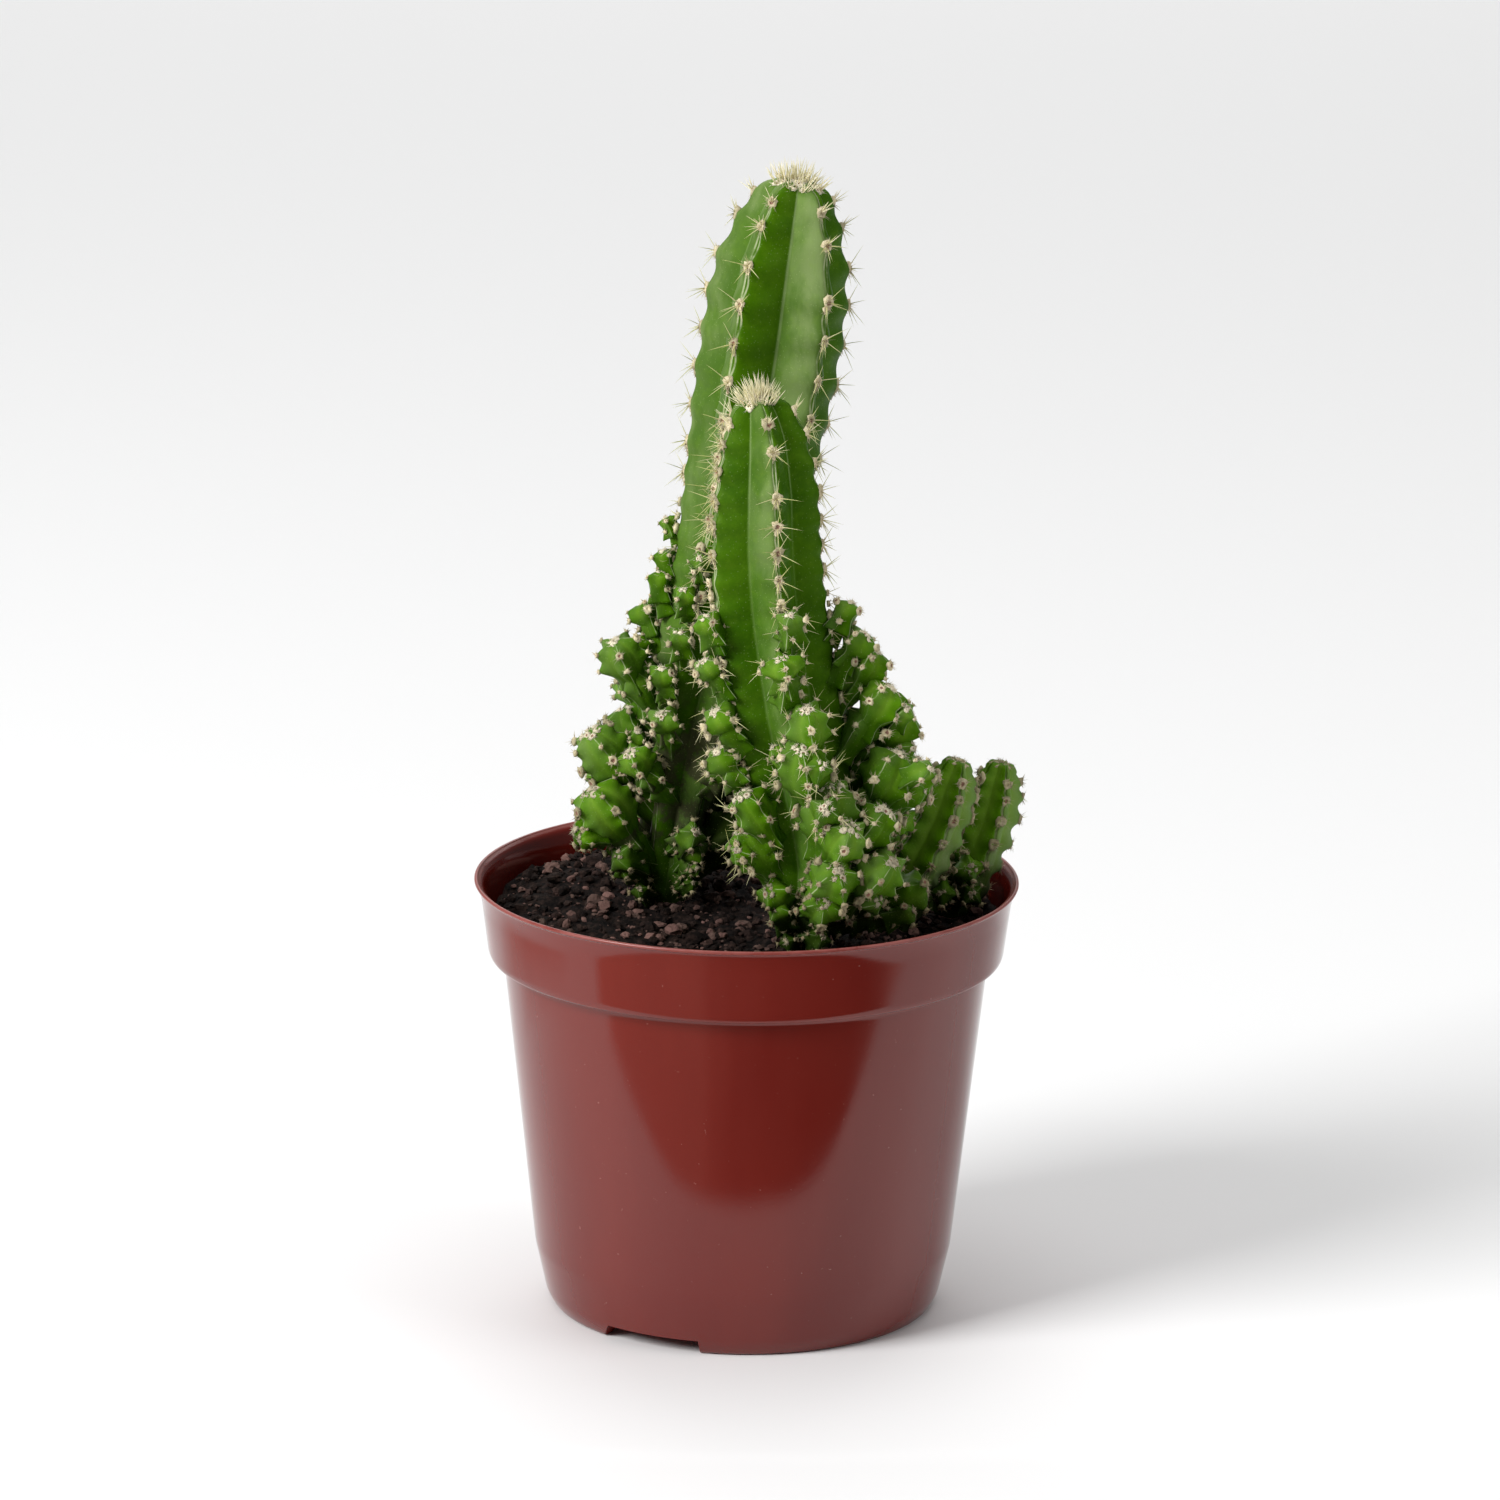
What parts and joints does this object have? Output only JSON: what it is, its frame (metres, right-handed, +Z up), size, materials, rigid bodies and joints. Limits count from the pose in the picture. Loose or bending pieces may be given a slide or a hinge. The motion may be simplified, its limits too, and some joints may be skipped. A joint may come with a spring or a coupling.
{
  "type": "potted cactus",
  "caption": "Columnar triangle cactus with ribbed stems, clustered offsets and spines, standing in soil in a plastic nursery pot.",
  "frame": {"origin": "centre of the pot's foot ring, on the surface that the pot stands on", "axes": "+Z up, -Y towards the viewer of the picture, +X to that viewer's right"},
  "size_m": [0.1093, 0.108, 0.2303],
  "materials": {
    "pot_plastic": "satin-gloss brown-red moulded plastic",
    "soil": "dry crumbly dark peat",
    "cactus_green": "waxy green skin with cream wool and straw spines"
  },
  "bodies": {
    "root": {"pot": "pot_plastic", "soil": "soil", "stem_tall": "cactus_green", "stem_front": "cactus_green", "side_stem_inner": "cactus_green", "side_stem_outer": "cactus_green"}
  },
  "joints": []
}
